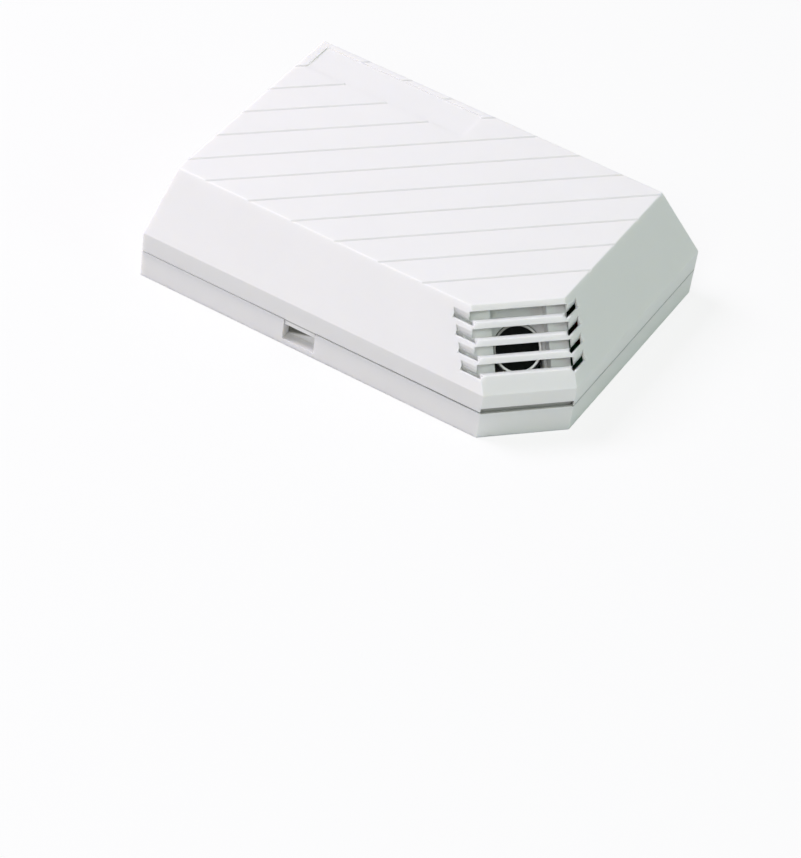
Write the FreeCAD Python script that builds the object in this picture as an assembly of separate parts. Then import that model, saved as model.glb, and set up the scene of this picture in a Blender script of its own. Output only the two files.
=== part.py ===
import FreeCAD, Part
import math
import os

# A wall mounted glass break sensor: a faceted plastic cover with one cut corner, which carries
# the louvres and the microphone, on a shallow base that holds the circuit board.
# Millimetres. X runs along the long side, Y from the front edge to the back edge, Z away from
# the wall. The origin is the centre of the base's wall face.

V = FreeCAD.Vector

# Closed sensor
length = 86.0
width = 61.8
height = 22.0
corner_cut = 12.5  # both legs of the cut corner, at the crease
crease_height = 10.1  # the upright band ends here and the slopes begin
base_height = 5.7  # part line between base and cover
edge_radius = 0.35

# How far each edge of the top face lies inside the upright band
left_inset = 2.0
back_inset = 3.0
right_inset = 8.6
front_inset = 7.4

# Cover
cover_wall = 1.6
skirt_depth = 1.1  # the cover's inner lip reaches this far into the base
lip_clearance = 0.35
part_line_gap = 0.2
front_gap = 0.4  # the part line opens to this at the front end of the cut corner
corner_gap = 1.3

# Grooves across the top face, parallel to the cut corner
groove_count = 11
groove_pitch = 6.6
groove_start = 7.0  # from the cut corner's top edge to the first groove
groove_width = 0.6
groove_depth = 0.2

# Recess for a nameplate, at the back left of the top face
plate_length = 35.0
plate_width = 8.0
plate_depth = 0.2
plate_side_margin = 1.8
plate_back_margin = 1.4
plate_corner_radius = 0.5

# Louvres, measured up the slope of the cut corner from the crease
slot_count = 4
louvre_wall = 0.9
slot_start = 4.12
slot_pitch = 3.2
slot_width = 1.56
slot_wrap = 3.8  # each slot runs this far round both corners
slot_wrap_drop = 0.45  # and lies this much lower there
slot_overlap = 0.3  # the cuts on neighbouring slopes overlap by this at the corners
slot_chamfer = 0.6  # on the lower edge of each slot

# Microphone, square to the cut corner's slope
mic_diameter = 9.4
mic_length = 4.5
mic_up_slope = 8.06  # from the crease to the microphone's axis
mic_offset = 0.65  # along the slope, from the middle of its top edge
mic_rim_width = 0.55
felt_recess = 0.1
felt_thickness = 0.3
boot_wall = 0.5
boot_length = 3.4
fit_clearance = 0.05
lead_diameter = 0.5
lead_spacing = 2.54

# Microphone holder, moulded in the cover behind the louvres
holder_depth = 2.4  # from the outer face of the slope to the holder's front
holder_wall = 1.1
holder_recess = 2.4  # from the holder's front to its sunk middle panel
holder_left_margin = 3.3  # beyond the slope's left edge, into the wall of the front slope
holder_right_margin = 0.85  # beyond the slope's right edge, to the inner face of the right slope
holder_end = 1.5  # from the crease up to the holder's lower end, along the slope
holder_floor = 6.5  # the holder's lower end, above the wall face

# Base
base_wall = 1.8
base_floor = 1.5
base_lip = 0.45
notch_left = 31.7  # pry notch in the front wall, from the left end
notch_width = 6.8
notch_sill = 1.2
notch_depth = 2.2  # to the stop that keeps a screwdriver off the circuit board
notch_stop_wall = 1.2
notch_stop_height = 3.2
pry_tab_height = 0.95  # the cover's edge reaches this far down into the notch
pry_tab_setback = 0.15
cable_entry_length = 14.0
cable_entry_width = 9.0
cable_entry_x = -33.0
cable_entry_y = 15.5

# Mounting holes in the base, in line along X
mount_spacing = 60.0
mount_centre_x = -3.0
mount_hole_diameter = 4.2
mount_boss_diameter = 8.6
mount_boss_height = 0.8

# Snap fingers on the cover's long sides
finger_places = (-28.0, 10.0)
finger_width = 6.0
finger_thickness = 1.0
finger_gap = 0.15
finger_tip = 2.2  # lower end of the fingers
finger_root = 9.0
nose_height = 0.8
nose_reach = 0.5
pocket_clearance = 0.15

# Circuit board
board_thickness = 1.6
board_bottom = 4.4
board_left_margin = 19.0  # the wiring space on the left holds no board
board_margin = 4.3
board_corner_margin = 11.6
board_hole_margin = 3.4
standoff_diameter = 5.4
peg_diameter = 2.4
peg_height = 0.8
driver_hole_diameter = 9.0
screw_diameter = 2.2
screw_head_diameter = 4.6
screw_head_height = 1.5
screw_length = 4.0
drive_slot_width = 0.7
drive_slot_depth = 0.7

small_round_sides = 20  # small round parts are made with this many flat sides

# Terminal block
way_count = 6
way_pitch = 5.08
block_depth = 8.2
block_height = 10.2
block_setback = 0.6  # from the board's left edge
mouth_size = 3.4
mouth_height = 1.6
mouth_depth = 6.0
well_diameter = 3.8
terminal_screw_diameter = 3.4
terminal_screw_height = 1.8
clamp_wall = 0.5

# Parts on the board
chip_standoff = 0.1
leg_thickness = 0.2
leg_reach = 1.1
foot_length = 0.6
relay_size = (15.0, 9.6, 9.8)
relay_leg_count = 4
relay_leg_pitch = 3.8
relay_leg_width = 0.7
processor_size = (12.8, 7.5, 2.3)
processor_leg_count = 10
amplifier_size = (8.7, 3.9, 1.6)
amplifier_leg_count = 7
chip_leg_pitch = 1.27
chip_leg_width = 0.42
crystal_size = (10.8, 4.5, 3.5)
chip_resistor_size = (2.0, 1.25, 0.6)
chip_capacitor_size = (3.2, 1.6, 1.1)
diode_size = (4.3, 2.6, 2.1)
transistor_size = (2.9, 1.3, 1.0)
transistor_leg_pitch = 1.9
electrolytic_sizes = ((8.0, 11.5), (6.3, 9.0), (5.0, 7.0))
suppressor_diameter = 7.0
suppressor_thickness = 3.2
suppressor_lift = 1.2
led_diameter = 3.0
led_rim_diameter = 3.8
led_height = 4.6
led_lift = 1.4
jumper_pairs = 3
jumper_pitch = 2.54
jumper_pin_width = 0.64
jumper_pin_length = 8.4
jumper_base_height = 2.5
shunt_height = 5.4
shunt_count = 2

# Tamper contact: a leaf spring on the board, pressed down by a post of the cover
spring_width = 4.0
spring_thickness = 0.3
spring_length = 9.5
spring_foot = 3.5
spring_height = 3.0
post_diameter = 4.4
contact_height = 0.5
contact_margin = 0.6

# Spots on the board, along X and along Y: a distance from an edge, from the middle, or from the
# middle of the board's own cut corner
spots = {
    "relay": (("left", 18.3), ("back", -12.5)),
    "suppressor": (("left", 9.0), ("back", -4.5)),
    "tamper": (("left", 37.4), ("back", -6.5)),
    "jumpers": (("right", -9.0), ("back", -9.5)),
    "transistors": (("right", -3.5), ("middle", 2.5)),
    "processor": (("left", 24.0), ("middle", -3.5)),
    "crystal": (("left", 36.5), ("middle", 1.5)),
    "amplifier": (("corner", -11.0), ("corner", 5.5)),
    "electrolytics": (("left", 13.2), ("front", 8.0)),
    "diodes": (("left", 29.6), ("back", -15.5)),
    "left resistors": (("left", 12.0), ("middle", -6.0)),
    "middle resistors": (("left", 15.0), ("middle", -8.0)),
    "front resistors": (("corner", -16.0), ("corner", -4.0)),
    "middle capacitors": (("left", 41.5), ("middle", 2.0)),
    "right capacitors": (("corner", -1.0), ("corner", 5.5)),
}
electrolytic_gap = 1.3
electrolytic_bevel = 0.4
resistor_counts = {"left resistors": 5, "middle resistors": 4, "front resistors": 3}
capacitor_count = 2
diode_count = 2
transistor_count = 3
transistor_pitch = 4.0
led_side_gap = 3.0
led_corner_gap = 3.5

# Values worked out from the sizes above
half_length = length / 2
half_width = width / 2
rise = height - crease_height
root_two = math.sqrt(2)
corner_inset = (right_inset + front_inset) / root_two
slope_length = math.hypot(corner_inset, rise)
slope_half_width = corner_cut / root_two
mic_down_slope = slope_length - mic_up_slope
mic_opening = mic_diameter + 2 * fit_clearance
boot_diameter = mic_opening + 2 * boot_wall
top_insets = (left_inset, back_inset, right_inset, front_inset, corner_inset)
board_top = board_bottom + board_thickness
board_left = -half_length + board_left_margin
board_right = half_length - board_margin
board_front = -half_width + board_margin
board_back = half_width - board_margin
ledge_height = base_height - skirt_depth
mount_places = (mount_centre_x - mount_spacing / 2, mount_centre_x + mount_spacing / 2)


def even(offset):
    """The same inset on all five sides."""
    return (offset,) * 5


def slope_insets(z, wall):
    """Insets of the five slopes at height z, for a surface that lies a wall inside them."""
    drop = (z - crease_height) / rise
    return tuple(inset * drop + wall * math.hypot(inset, rise) / rise for inset in top_insets)


def outline(insets):
    """Corners of the plan, cut corner at front right, anticlockwise from the front left."""
    left, back, right, front, corner = insets
    x_left = -half_length + left
    x_right = half_length - right
    y_front = -half_width + front
    y_back = half_width - back
    cut_line = half_length - corner_cut + half_width - corner * root_two
    return (
        (x_left, y_front),
        (cut_line + y_front, y_front),
        (x_right, x_right - cut_line),
        (x_right, y_back),
        (x_left, y_back),
    )


def frustum(lower_insets, lower_z, upper_insets, upper_z):
    """Flat sided solid between two outlines of the plan."""
    lower = [V(x, y, lower_z) for x, y in outline(lower_insets)]
    upper = [V(x, y, upper_z) for x, y in outline(upper_insets)]
    rings = [lower, upper]
    for i in range(5):
        j = (i + 1) % 5
        rings.append([lower[i], lower[j], upper[j], upper[i]])
    faces = [Part.Face(Part.makePolygon(ring + ring[:1])) for ring in rings]
    solid = Part.Solid(Part.Shell(faces))
    return solid if solid.Volume > 0 else solid.reversed()


def upright(insets, lower_z, upper_z):
    return frustum(insets, lower_z, insets, upper_z)


def slopes(wall, lower_z, upper_z):
    return frustum(slope_insets(lower_z, wall), lower_z, slope_insets(upper_z, wall), upper_z)


def hull_inside(wall, lower_z, upper_z):
    """The sensor's outer form, moved inwards by a wall thickness."""
    return upright(even(wall), lower_z, upper_z).common(slopes(wall, lower_z, upper_z))


def box(x0, x1, y0, y1, z0, z1):
    return Part.makeBox(x1 - x0, y1 - y0, z1 - z0, V(x0, y0, z0))


def cylinder(diameter, z0, z1, x=0.0, y=0.0):
    return Part.makeCylinder(diameter / 2, z1 - z0, V(x, y, z0))


def turned(profile):
    """Solid of revolution about Z, from its (radius, height) points bottom to top."""
    points = [V(0, 0, profile[0][1])] + [V(r, 0, z) for r, z in profile] + [V(0, 0, profile[-1][1])]
    return Part.Face(Part.makePolygon(points + points[:1])).revolve(V(0, 0, 0), V(0, 0, 1), 360)


def prism(points, direction):
    return Part.Face(Part.makePolygon(points + points[:1])).extrude(direction)


def small_round(diameter, z0, z1, x=0.0, y=0.0):
    """A small round post or bore, with flat sides."""
    ring = []
    for i in range(small_round_sides):
        angle = 2 * math.pi * i / small_round_sides
        ring.append(V(x + diameter / 2 * math.cos(angle), y + diameter / 2 * math.sin(angle), z0))
    return prism(ring, V(0, 0, z1 - z0))


def moved(shape, x, y, z, turn=0.0):
    return shape.copy().transformed(
        FreeCAD.Placement(V(x, y, z), FreeCAD.Rotation(V(0, 0, 1), turn)).toMatrix()
    )


def fused(shapes):
    result = shapes[0]
    if len(shapes) > 1:
        result = result.fuse(shapes[1:])
    return result.removeSplitter()


def facet_placement():
    """Frame of the cut corner's slope: X along its top edge, Y up the slope, Z outwards."""
    top = outline(top_insets)
    origin = V((top[1][0] + top[2][0]) / 2, (top[1][1] + top[2][1]) / 2, height)
    along = V(1, 1, 0).normalize()
    up = V(-corner_inset / root_two, corner_inset / root_two, rise).normalize()
    outward = along.cross(up)
    return FreeCAD.Placement(origin, FreeCAD.Rotation(along, up, outward, "ZXY"))


facet = facet_placement()


def on_facet(shape):
    return shape.transformed(facet.toMatrix())


def facet_box(x0, x1, down0, down1, depth0, depth1):
    """A box behind the cut corner's slope, by distance down the slope and depth below it."""
    return on_facet(box(x0, x1, -down1, -down0, -depth1, -depth0))


def facet_disc(diameter, depth0, depth1):
    """A disc or plug on the microphone's axis."""
    return on_facet(cylinder(diameter, -depth1, -depth0, mic_offset, -mic_down_slope))


# Cover


def outer_hull():
    """Solid outer form with rounded edges: a smaller core, grown by the edge radius."""
    below = -4 * edge_radius
    core = hull_inside(edge_radius, below, height - edge_radius)
    return core.makeOffsetShape(edge_radius, 1e-4)


def part_line_cutter():
    """Opens the part line outside the skirt: a hairline, wider towards the cut corner."""
    corners = outline(even(0))
    reach = 2 * cover_wall
    full = box(-length, length, -width, width, 0, base_height + part_line_gap)
    front = prism(
        [
            V(corners[0][0], corners[0][1] - reach, base_height),
            V(corners[1][0], corners[1][1] - reach, base_height),
            V(corners[1][0], corners[1][1] - reach, base_height + front_gap),
            V(corners[0][0], corners[0][1] - reach, base_height + part_line_gap),
        ],
        V(0, reach + base_lip + lip_clearance, 0),
    )
    corner = moved(
        box(-corner_cut / root_two, corner_cut / root_two, -reach, cover_wall, 0, corner_gap),
        (corners[1][0] + corners[2][0]) / 2,
        (corners[1][1] + corners[2][1]) / 2,
        base_height,
        45,
    )
    skirt_zone = upright(even(base_lip + lip_clearance), -1, height)
    return full.fuse([front, corner]).cut(skirt_zone)


def groove_cutters():
    """V grooves, in the frame of the cut corner turned flat."""
    corners = outline(top_insets)
    middle = V((corners[1][0] + corners[2][0]) / 2, (corners[1][1] + corners[2][1]) / 2, height)
    reach = length + width
    cutters = []
    for i in range(groove_count):
        y = groove_start + i * groove_pitch
        profile = [
            V(-reach, y, -groove_depth),
            V(-reach, y - groove_width, groove_depth),
            V(-reach, y + groove_width, groove_depth),
        ]
        cutters.append(moved(prism(profile, V(2 * reach, 0, 0)), middle.x, middle.y, middle.z, 45))
    return cutters


def nameplate_recess():
    corners = outline(top_insets)
    x0 = corners[4][0] + plate_side_margin
    y1 = corners[4][1] - plate_back_margin
    recess = box(x0, x0 + plate_length, y1 - plate_width, y1, height - plate_depth, height + 1)
    upright_edges = [e for e in recess.Edges if abs(e.tangentAt(e.FirstParameter).z) > 0.9]
    return recess.makeFillet(plate_corner_radius, upright_edges)


def slot_corners(up_slope, drop):
    """Both ends of a slot's long edge on the cut corner's slope, or lower by a drop."""
    z = crease_height + up_slope * rise / slope_length - drop
    return [V(x, y, z) for x, y in outline(slope_insets(z, 0))[1:3]]


def slope_slot(start):
    """One slot across the cut corner's slope, cut square to it."""
    ring = []
    for up_slope, side in ((start, 1), (start + slot_width, -1)):
        left, right = [facet.inverse().multVec(p) for p in slot_corners(up_slope, 0)]
        left, right = left - V(slot_overlap, 0, 0), right + V(slot_overlap, 0, 0)
        ring += [left, right][::side]
    mouth = [V(p.x, p.y, edge_radius) for p in ring]
    return on_facet(prism(mouth, V(0, 0, -height)))


def wrapped_slot(start, end, way):
    """The same slot on the slope beside it, cut straight down as the mould draws."""
    low = slot_corners(start, slot_wrap_drop)[end]
    high = slot_corners(start + slot_width, slot_wrap_drop)[end]
    ring = [low - way * slot_overlap, low + way * slot_wrap]
    ring += [high + way * slot_wrap, high - way * slot_overlap]
    return prism([V(p.x, p.y, 0) for p in ring], V(0, 0, high.z + slot_width))


def louvre_cutters():
    """Slots across the cut corner's slope that wrap onto the slopes beside it, and stop at the
    inner face of the wall."""
    inside = hull_inside(cover_wall + fit_clearance, -1, height - cover_wall)
    sides = (
        (0, V(-1, 0, 0), V(0, -rise, front_inset).normalize()),
        (1, V(0, 1, 0), V(rise, 0, right_inset).normalize()),
    )
    cutters = []
    for i in range(slot_count):
        start = slot_start + i * slot_pitch
        left, right = slot_corners(start, 0)
        cutters.append(slope_slot(start).cut(inside))
        cutters.append(slot_land(left, right, facet.Rotation.multVec(V(0, 0, 1))))
        for end, way, outward in sides:
            first = slot_corners(start, slot_wrap_drop)[end]
            cutters.append(wrapped_slot(start, end, way).cut(inside))
            cutters.append(slot_land(first, first + way * slot_wrap, outward))
    return cutters


def slot_land(start, end, outward):
    """Flattens the lower edge of a slot."""
    along = (end - start).normalize()
    away = along.cross(outward).normalize()
    away = away if away.z < 0 else away * -1
    first = start - along * (slot_chamfer / 2)
    ring = [
        first - outward * slot_chamfer,
        first + (outward + away * 2) * slot_chamfer,
        first + (outward - away) * slot_chamfer,
        first - (outward + away) * slot_chamfer,
    ]
    return prism(ring, end - start + along * slot_chamfer)


def louvre_hollow():
    """Thins the wall behind the louvres."""
    across = slope_half_width + slot_wrap
    zone = facet_box(-across, across, 0, slope_length - holder_end, 0, length)
    return zone.common(hull_inside(louvre_wall, holder_floor, height - cover_wall))


def microphone_holder():
    """Wall behind the louvres, with a sunk middle panel that the microphone looks through."""
    front = holder_depth
    panel = holder_depth + holder_recess
    back = panel + holder_wall + boot_length
    bottom = slope_length - holder_end
    left = mic_offset - boot_diameter / 2 - fit_clearance
    right = mic_offset + boot_diameter / 2 + fit_clearance
    top = -cover_wall
    flange = facet_box(
        -slope_half_width - holder_left_margin,
        slope_half_width + holder_right_margin,
        top,
        bottom,
        front,
        front + holder_wall,
    )
    channel = facet_box(left, right, top - 1, bottom + 1, front - 1, panel)
    body = [
        facet_box(left - holder_wall, left, top, bottom, front, back),
        facet_box(right, right + holder_wall, top, bottom, front, back),
        facet_box(left, right, top, bottom, panel, panel + holder_wall),
    ]
    arch = facet_disc(mic_opening, panel - 1, panel + holder_wall)
    doorway = facet_box(
        mic_offset - mic_opening / 2,
        mic_offset + mic_opening / 2,
        mic_down_slope,
        bottom + 1,
        panel - 1,
        panel + holder_wall,
    )
    rest_top = mic_down_slope + boot_diameter / 2 + fit_clearance
    rest = facet_box(left, right, rest_top, bottom, panel, back)
    solid = fused([flange] + body).cut([channel, arch, doorway]).fuse(rest)
    return solid.common(hull_inside(cover_wall / 2, holder_floor, height - cover_wall / 2))


def front_side(shape):
    """A piece made for the back wall, turned round to the front wall."""
    return shape.mirror(V(0, 0, 0), V(0, 1, 0))


def snap_finger(x):
    """Finger inside the back wall, with a nose that seats in a pocket of the base."""
    outside = half_width - base_wall - finger_gap
    profile = [
        V(0, outside - finger_thickness, finger_tip),
        V(0, outside, finger_tip),
        V(0, outside + nose_reach, finger_tip + nose_height),
        V(0, outside, finger_tip + nose_height),
        V(0, outside, base_height),
        V(0, half_width - cover_wall / 2, base_height + part_line_gap + nose_height),
        V(0, half_width - cover_wall / 2, finger_root),
        V(0, outside - finger_thickness, finger_root),
    ]
    return moved(prism(profile, V(finger_width, 0, 0)), x - finger_width / 2, 0, 0)


def pry_tab():
    """The cover's edge at the pry notch, a little behind the front face."""
    left = -half_length + notch_left + pry_tab_setback
    return box(
        left,
        left + notch_width - 2 * pry_tab_setback,
        -half_width + pry_tab_setback,
        -half_width + cover_wall,
        base_height - pry_tab_height,
        crease_height - cover_wall,
    )


def tamper_post():
    x, y = spot("tamper")
    lower = board_top + spring_height
    return cylinder(post_diameter, lower, height - cover_wall / 2, x, y)


def front_cover():
    hollow = hull_inside(cover_wall, -1, height - cover_wall)
    shell = outer_hull().cut(hollow)
    shell = shell.common(box(-length, length, -width, width, ledge_height, height + 1))
    shell = shell.cut([part_line_cutter(), louvre_hollow()])
    additions = [microphone_holder(), tamper_post(), pry_tab()]
    for x in finger_places:
        finger = snap_finger(x)
        additions += [finger, front_side(finger)]
    shell = shell.fuse(additions)
    return shell.cut(groove_cutters() + louvre_cutters() + [nameplate_recess()]).removeSplitter()


# Base


def snap_pocket(x):
    """Blind pocket for a finger's nose, in the inner face of the back wall."""
    half = finger_width / 2 + pocket_clearance
    inner = half_width - base_wall
    reach = nose_reach - finger_gap + pocket_clearance
    z = finger_tip + nose_height
    return box(
        x - half, x + half, inner - 1, inner + reach, finger_tip, z + pocket_clearance
    )


def cable_entry():
    opening = box(
        cable_entry_x - cable_entry_width / 2,
        cable_entry_x + cable_entry_width / 2,
        cable_entry_y - cable_entry_length / 2,
        cable_entry_y + cable_entry_length / 2,
        -1,
        base_floor + 1,
    )
    upright_edges = [e for e in opening.Edges if abs(e.tangentAt(e.FirstParameter).z) > 0.9]
    return opening.makeFillet(cable_entry_width / 4, upright_edges)


def screw_places():
    return (
        (board_left + board_hole_margin, board_front + board_hole_margin),
        (board_right - board_hole_margin, board_back - board_hole_margin),
    )


def peg_places():
    corner_x = outline(board_insets())[1][0]
    return (
        (board_left + board_hole_margin, board_back - board_hole_margin),
        (corner_x - board_hole_margin, board_front + board_hole_margin),
    )


def pry_notch():
    """The stop behind the notch, and the cuts that open the front wall."""
    left = -half_length + notch_left
    right = left + notch_width
    front = -half_width
    back = front + notch_depth + notch_stop_wall
    stop = box(
        left - notch_stop_wall, right + notch_stop_wall, front + base_wall / 2, back,
        base_floor / 2, notch_stop_height,
    )
    pocket = box(left, right, front - 1, front + notch_depth, notch_sill, height)
    gap = box(left, right, front - 1, back, notch_stop_height, height)
    return stop, [pocket, gap]


def base():
    inner = [V(x, y, 0) for x, y in outline(even(edge_radius))]
    plan = Part.Face(Part.makePolygon(inner + inner[:1])).makeOffset2D(edge_radius)
    tray = plan.extrude(V(0, 0, base_height))
    tray = tray.cut(upright(even(base_wall), base_floor, base_height + 1))
    tray = tray.cut(upright(even(base_lip), ledge_height, base_height + 1))
    additions = []
    for x, y in screw_places() + peg_places():
        additions.append(cylinder(standoff_diameter, base_floor, board_bottom, x, y))
    for x, y in peg_places():
        peg = peg_diameter - 2 * fit_clearance
        additions.append(cylinder(peg, board_bottom, board_top + peg_height, x, y))
    for x in mount_places:
        additions.append(cylinder(mount_boss_diameter, base_floor, base_floor + mount_boss_height, x))
    stop, notch_cuts = pry_notch()
    additions.append(stop)
    cuts = [cable_entry()] + notch_cuts
    for x, y in screw_places():
        depth = board_top - screw_length - fit_clearance
        cuts.append(cylinder(screw_diameter + 2 * fit_clearance, depth, board_bottom, x, y))
    for x in mount_places:
        cuts.append(cylinder(mount_hole_diameter, -1, base_height, x))
    for x in finger_places:
        pocket = snap_pocket(x)
        cuts += [pocket, front_side(pocket)]
    return tray.fuse(additions).cut(cuts).removeSplitter()


# Circuit board and what fastens it


def board_insets():
    return (board_left_margin, board_margin, board_margin, board_margin, board_corner_margin)


def circuit_board():
    board = upright(board_insets(), board_bottom, board_top)
    holes = []
    for x, y in screw_places():
        holes.append(cylinder(screw_diameter + 4 * fit_clearance, 0, height, x, y))
    for x, y in peg_places():
        holes.append(cylinder(peg_diameter, 0, height, x, y))
    holes.append(cylinder(driver_hole_diameter, 0, height, mount_places[1]))
    return board.cut(holes)


def slotted(head, diameter, top, x=0.0, y=0.0):
    """A screw head with its driver slot."""
    slot = box(
        x - diameter, x + diameter, y - drive_slot_width / 2, y + drive_slot_width / 2,
        top - drive_slot_depth, top + 1,
    )
    return head.cut(slot)


def board_screws():
    shank = small_round(screw_diameter, -screw_length, 0)
    head = small_round(screw_head_diameter, 0, screw_head_height)
    screw = slotted(shank.fuse(head), screw_head_diameter, screw_head_height)
    return Part.makeCompound([moved(screw, x, y, board_top) for x, y in screw_places()])


# Microphone


def mic_front():
    """Depth of the microphone's face: level with the sunk panel of its holder."""
    return holder_depth + holder_recess + fit_clearance


def microphone_can():
    radius = mic_diameter / 2
    bevel = mic_rim_width / 3
    felt_radius = radius - mic_rim_width
    can = turned(
        (
            (radius, -mic_length),
            (radius, -bevel),
            (radius - bevel, 0),
            (felt_radius, 0),
            (felt_radius, -felt_recess - felt_thickness),
        )
    )
    return on_facet(moved(can, mic_offset, -mic_down_slope, -mic_front()))


def microphone_felt():
    front = mic_front() + felt_recess
    return facet_disc(mic_diameter - 2 * mic_rim_width - 2 * fit_clearance, front, front + felt_thickness)


def microphone_boot():
    """Rubber sleeve round the capsule, against the back of the holder's panel."""
    front = holder_depth + holder_recess + holder_wall
    sleeve = facet_disc(boot_diameter, front, front + boot_length)
    return sleeve.cut(facet_disc(mic_opening, front - 1, front + boot_length + 1))


def bent_lead(points, diameter):
    """Round wire along straight runs, mitred at the bend."""
    path = Part.makePolygon(points)
    section = Part.Wire([Part.makeCircle(diameter / 2, points[0], points[1] - points[0])])
    return path.makePipeShell([section], True, False, 1)


def microphone_leads():
    """Straight out of the capsule's back to half way down, then upright to the board."""
    back = mic_front() + mic_length
    inwards = facet.Rotation.multVec(V(0, 0, -1))
    leads = []
    for side in (-0.5, 0.5):
        start = facet.multVec(V(mic_offset + side * lead_spacing, -mic_down_slope, -back))
        bend = start - inwards * ((start.z - board_top) / 2 / inwards.z)
        end = V(bend.x, bend.y, board_top)
        leads.append(bent_lead([start, bend, end], lead_diameter))
    return Part.makeCompound(leads)


# Terminal block


def way_places():
    middle = (way_count - 1) / 2
    return [(i - middle) * way_pitch for i in range(way_count)]


def block_left():
    return board_left + block_setback


def terminal_block():
    x0 = block_left()
    half = way_count * way_pitch / 2
    top = board_top + block_height
    body = box(x0, x0 + block_depth, -half, half, board_top, top)
    top_edges = [
        e for e in body.Edges
        if min(v.Z for v in e.Vertexes) > top - 1e-6 and abs(e.tangentAt(0).y) > 0.9
    ]
    body = body.makeChamfer(clamp_wall * 2, top_edges)
    cuts = []
    mouth_z = board_top + mouth_height
    for y in way_places():
        half_mouth = mouth_size / 2
        cuts.append(
            box(x0 - 1, x0 + mouth_depth, y - half_mouth, y + half_mouth, mouth_z, mouth_z + mouth_size)
        )
        cuts.append(
            small_round(well_diameter, mouth_z + mouth_size / 2, top + 1, x0 + mouth_depth / 2, y)
        )
    return body.cut(cuts)


def terminal_clamps():
    """A metal cage in each mouth: a square tube along the wire."""
    x0 = block_left() + clamp_wall
    x1 = block_left() + mouth_depth - fit_clearance
    clamps = []
    half = mouth_size / 2 - fit_clearance
    z0 = board_top + mouth_height
    z1 = z0 + mouth_size - fit_clearance
    for y in way_places():
        cage = box(x0, x1, y - half, y + half, z0, z1)
        bore = box(
            x0 - 1, x1 + 1, y - half + clamp_wall, y + half - clamp_wall, z0 + clamp_wall, z1 - clamp_wall
        )
        clamps.append(cage.cut(bore))
    return Part.makeCompound(clamps)


def terminal_screws():
    x = block_left() + mouth_depth / 2
    z0 = board_top + mouth_height + mouth_size - fit_clearance
    top = z0 + terminal_screw_height
    screws = []
    for y in way_places():
        head = small_round(terminal_screw_diameter, z0, top, x, y)
        screws.append(slotted(head, terminal_screw_diameter, top, x, y))
    return Part.makeCompound(screws)


# Parts soldered to the board


def legs(size, count, pitch, leg_width):
    """Two rows of bent legs along a body's long sides, their feet on the board."""
    body_length, body_width, body_height = size
    side = body_width / 2
    shoulder = chip_standoff + min(body_height / 2, leg_reach)
    knee = side + leg_reach - foot_length
    profile = [
        V(0, side, shoulder),
        V(0, knee, shoulder),
        V(0, knee, leg_thickness),
        V(0, side + leg_reach, leg_thickness),
        V(0, side + leg_reach, 0),
        V(0, knee - leg_thickness, 0),
        V(0, knee - leg_thickness, shoulder - leg_thickness),
        V(0, side, shoulder - leg_thickness),
    ]
    row = []
    for i in range(count):
        x = (i - (count - 1) / 2) * pitch - leg_width / 2
        leg = moved(prism(profile, V(leg_width, 0, 0)), x, 0, 0)
        row += [leg, front_side(leg)]
    return row


def chip_body(size):
    body_length, body_width, body_height = size
    half_x = body_length / 2
    half_y = body_width / 2
    return box(-half_x, half_x, -half_y, half_y, chip_standoff, chip_standoff + body_height)


def spot(name):
    """Plan position of a part on the board."""
    cut = outline(board_insets())[1:3]
    edges = (
        {"left": board_left, "right": board_right, "corner": (cut[0][0] + cut[1][0]) / 2},
        {"front": board_front, "back": board_back, "middle": 0, "corner": (cut[0][1] + cut[1][1]) / 2},
    )
    return tuple(axis[edge] + distance for axis, (edge, distance) in zip(edges, spots[name]))


def on_board(shapes, place, turn=0.0):
    x, y = place
    return [moved(shape, x, y, board_top, turn) for shape in shapes]


def relay_case():
    body = chip_body(relay_size)
    lid_edges = [e for e in body.Edges if min(v.Z for v in e.Vertexes) > relay_size[2] / 2]
    return on_board([body.makeFillet(2 * leg_thickness, lid_edges)], spot("relay"))[0]


def relay_pins():
    row = legs(relay_size, relay_leg_count, relay_leg_pitch, relay_leg_width)
    return Part.makeCompound(on_board(row, spot("relay")))


def processor_chip():
    return on_board([chip_body(processor_size)], spot("processor"))[0]


def processor_pins():
    row = legs(processor_size, processor_leg_count, chip_leg_pitch, chip_leg_width)
    return Part.makeCompound(on_board(row, spot("processor")))


def amplifier_chip():
    return on_board([chip_body(amplifier_size)], spot("amplifier"), 45)[0]


def amplifier_pins():
    row = legs(amplifier_size, amplifier_leg_count, chip_leg_pitch, chip_leg_width)
    return Part.makeCompound(on_board(row, spot("amplifier"), 45))


def crystal_can():
    """Metal can with round ends, lying along Y."""
    can_length, can_width, can_height = crystal_size
    straight = can_length / 2 - can_width / 2
    can = fused(
        [
            box(-can_width / 2, can_width / 2, -straight, straight, 0, can_height),
            cylinder(can_width, 0, can_height, 0, -straight),
            cylinder(can_width, 0, can_height, 0, straight),
        ]
    )
    return on_board([can], spot("crystal"))[0]


def electrolytic_places():
    x, y = spot("electrolytics")
    step = electrolytic_sizes[0][0] + electrolytic_gap
    return [(x + i * step, y) for i in range(len(electrolytic_sizes))]


def electrolytic_capacitors():
    cans = []
    for (diameter, tall), (x, y) in zip(electrolytic_sizes, electrolytic_places()):
        radius = diameter / 2
        bevel = electrolytic_bevel
        can = turned(((radius, 0), (radius, tall - bevel), (radius - bevel, tall)))
        cans.append(moved(can, x, y, board_top))
    return Part.makeCompound(cans)


def chip_row(size, place, count):
    """Small blocks in a line along Y, with gaps as wide as a block."""
    sx, sy, sz = size
    x, y = place
    block = box(-sx / 2, sx / 2, -sy / 2, sy / 2, 0, sz)
    return [moved(block, x, y + 2 * i * sy, board_top) for i in range(count)]


def resistors():
    blocks = []
    for name, count in resistor_counts.items():
        blocks += chip_row(chip_resistor_size, spot(name), count)
    return Part.makeCompound(blocks)


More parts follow.
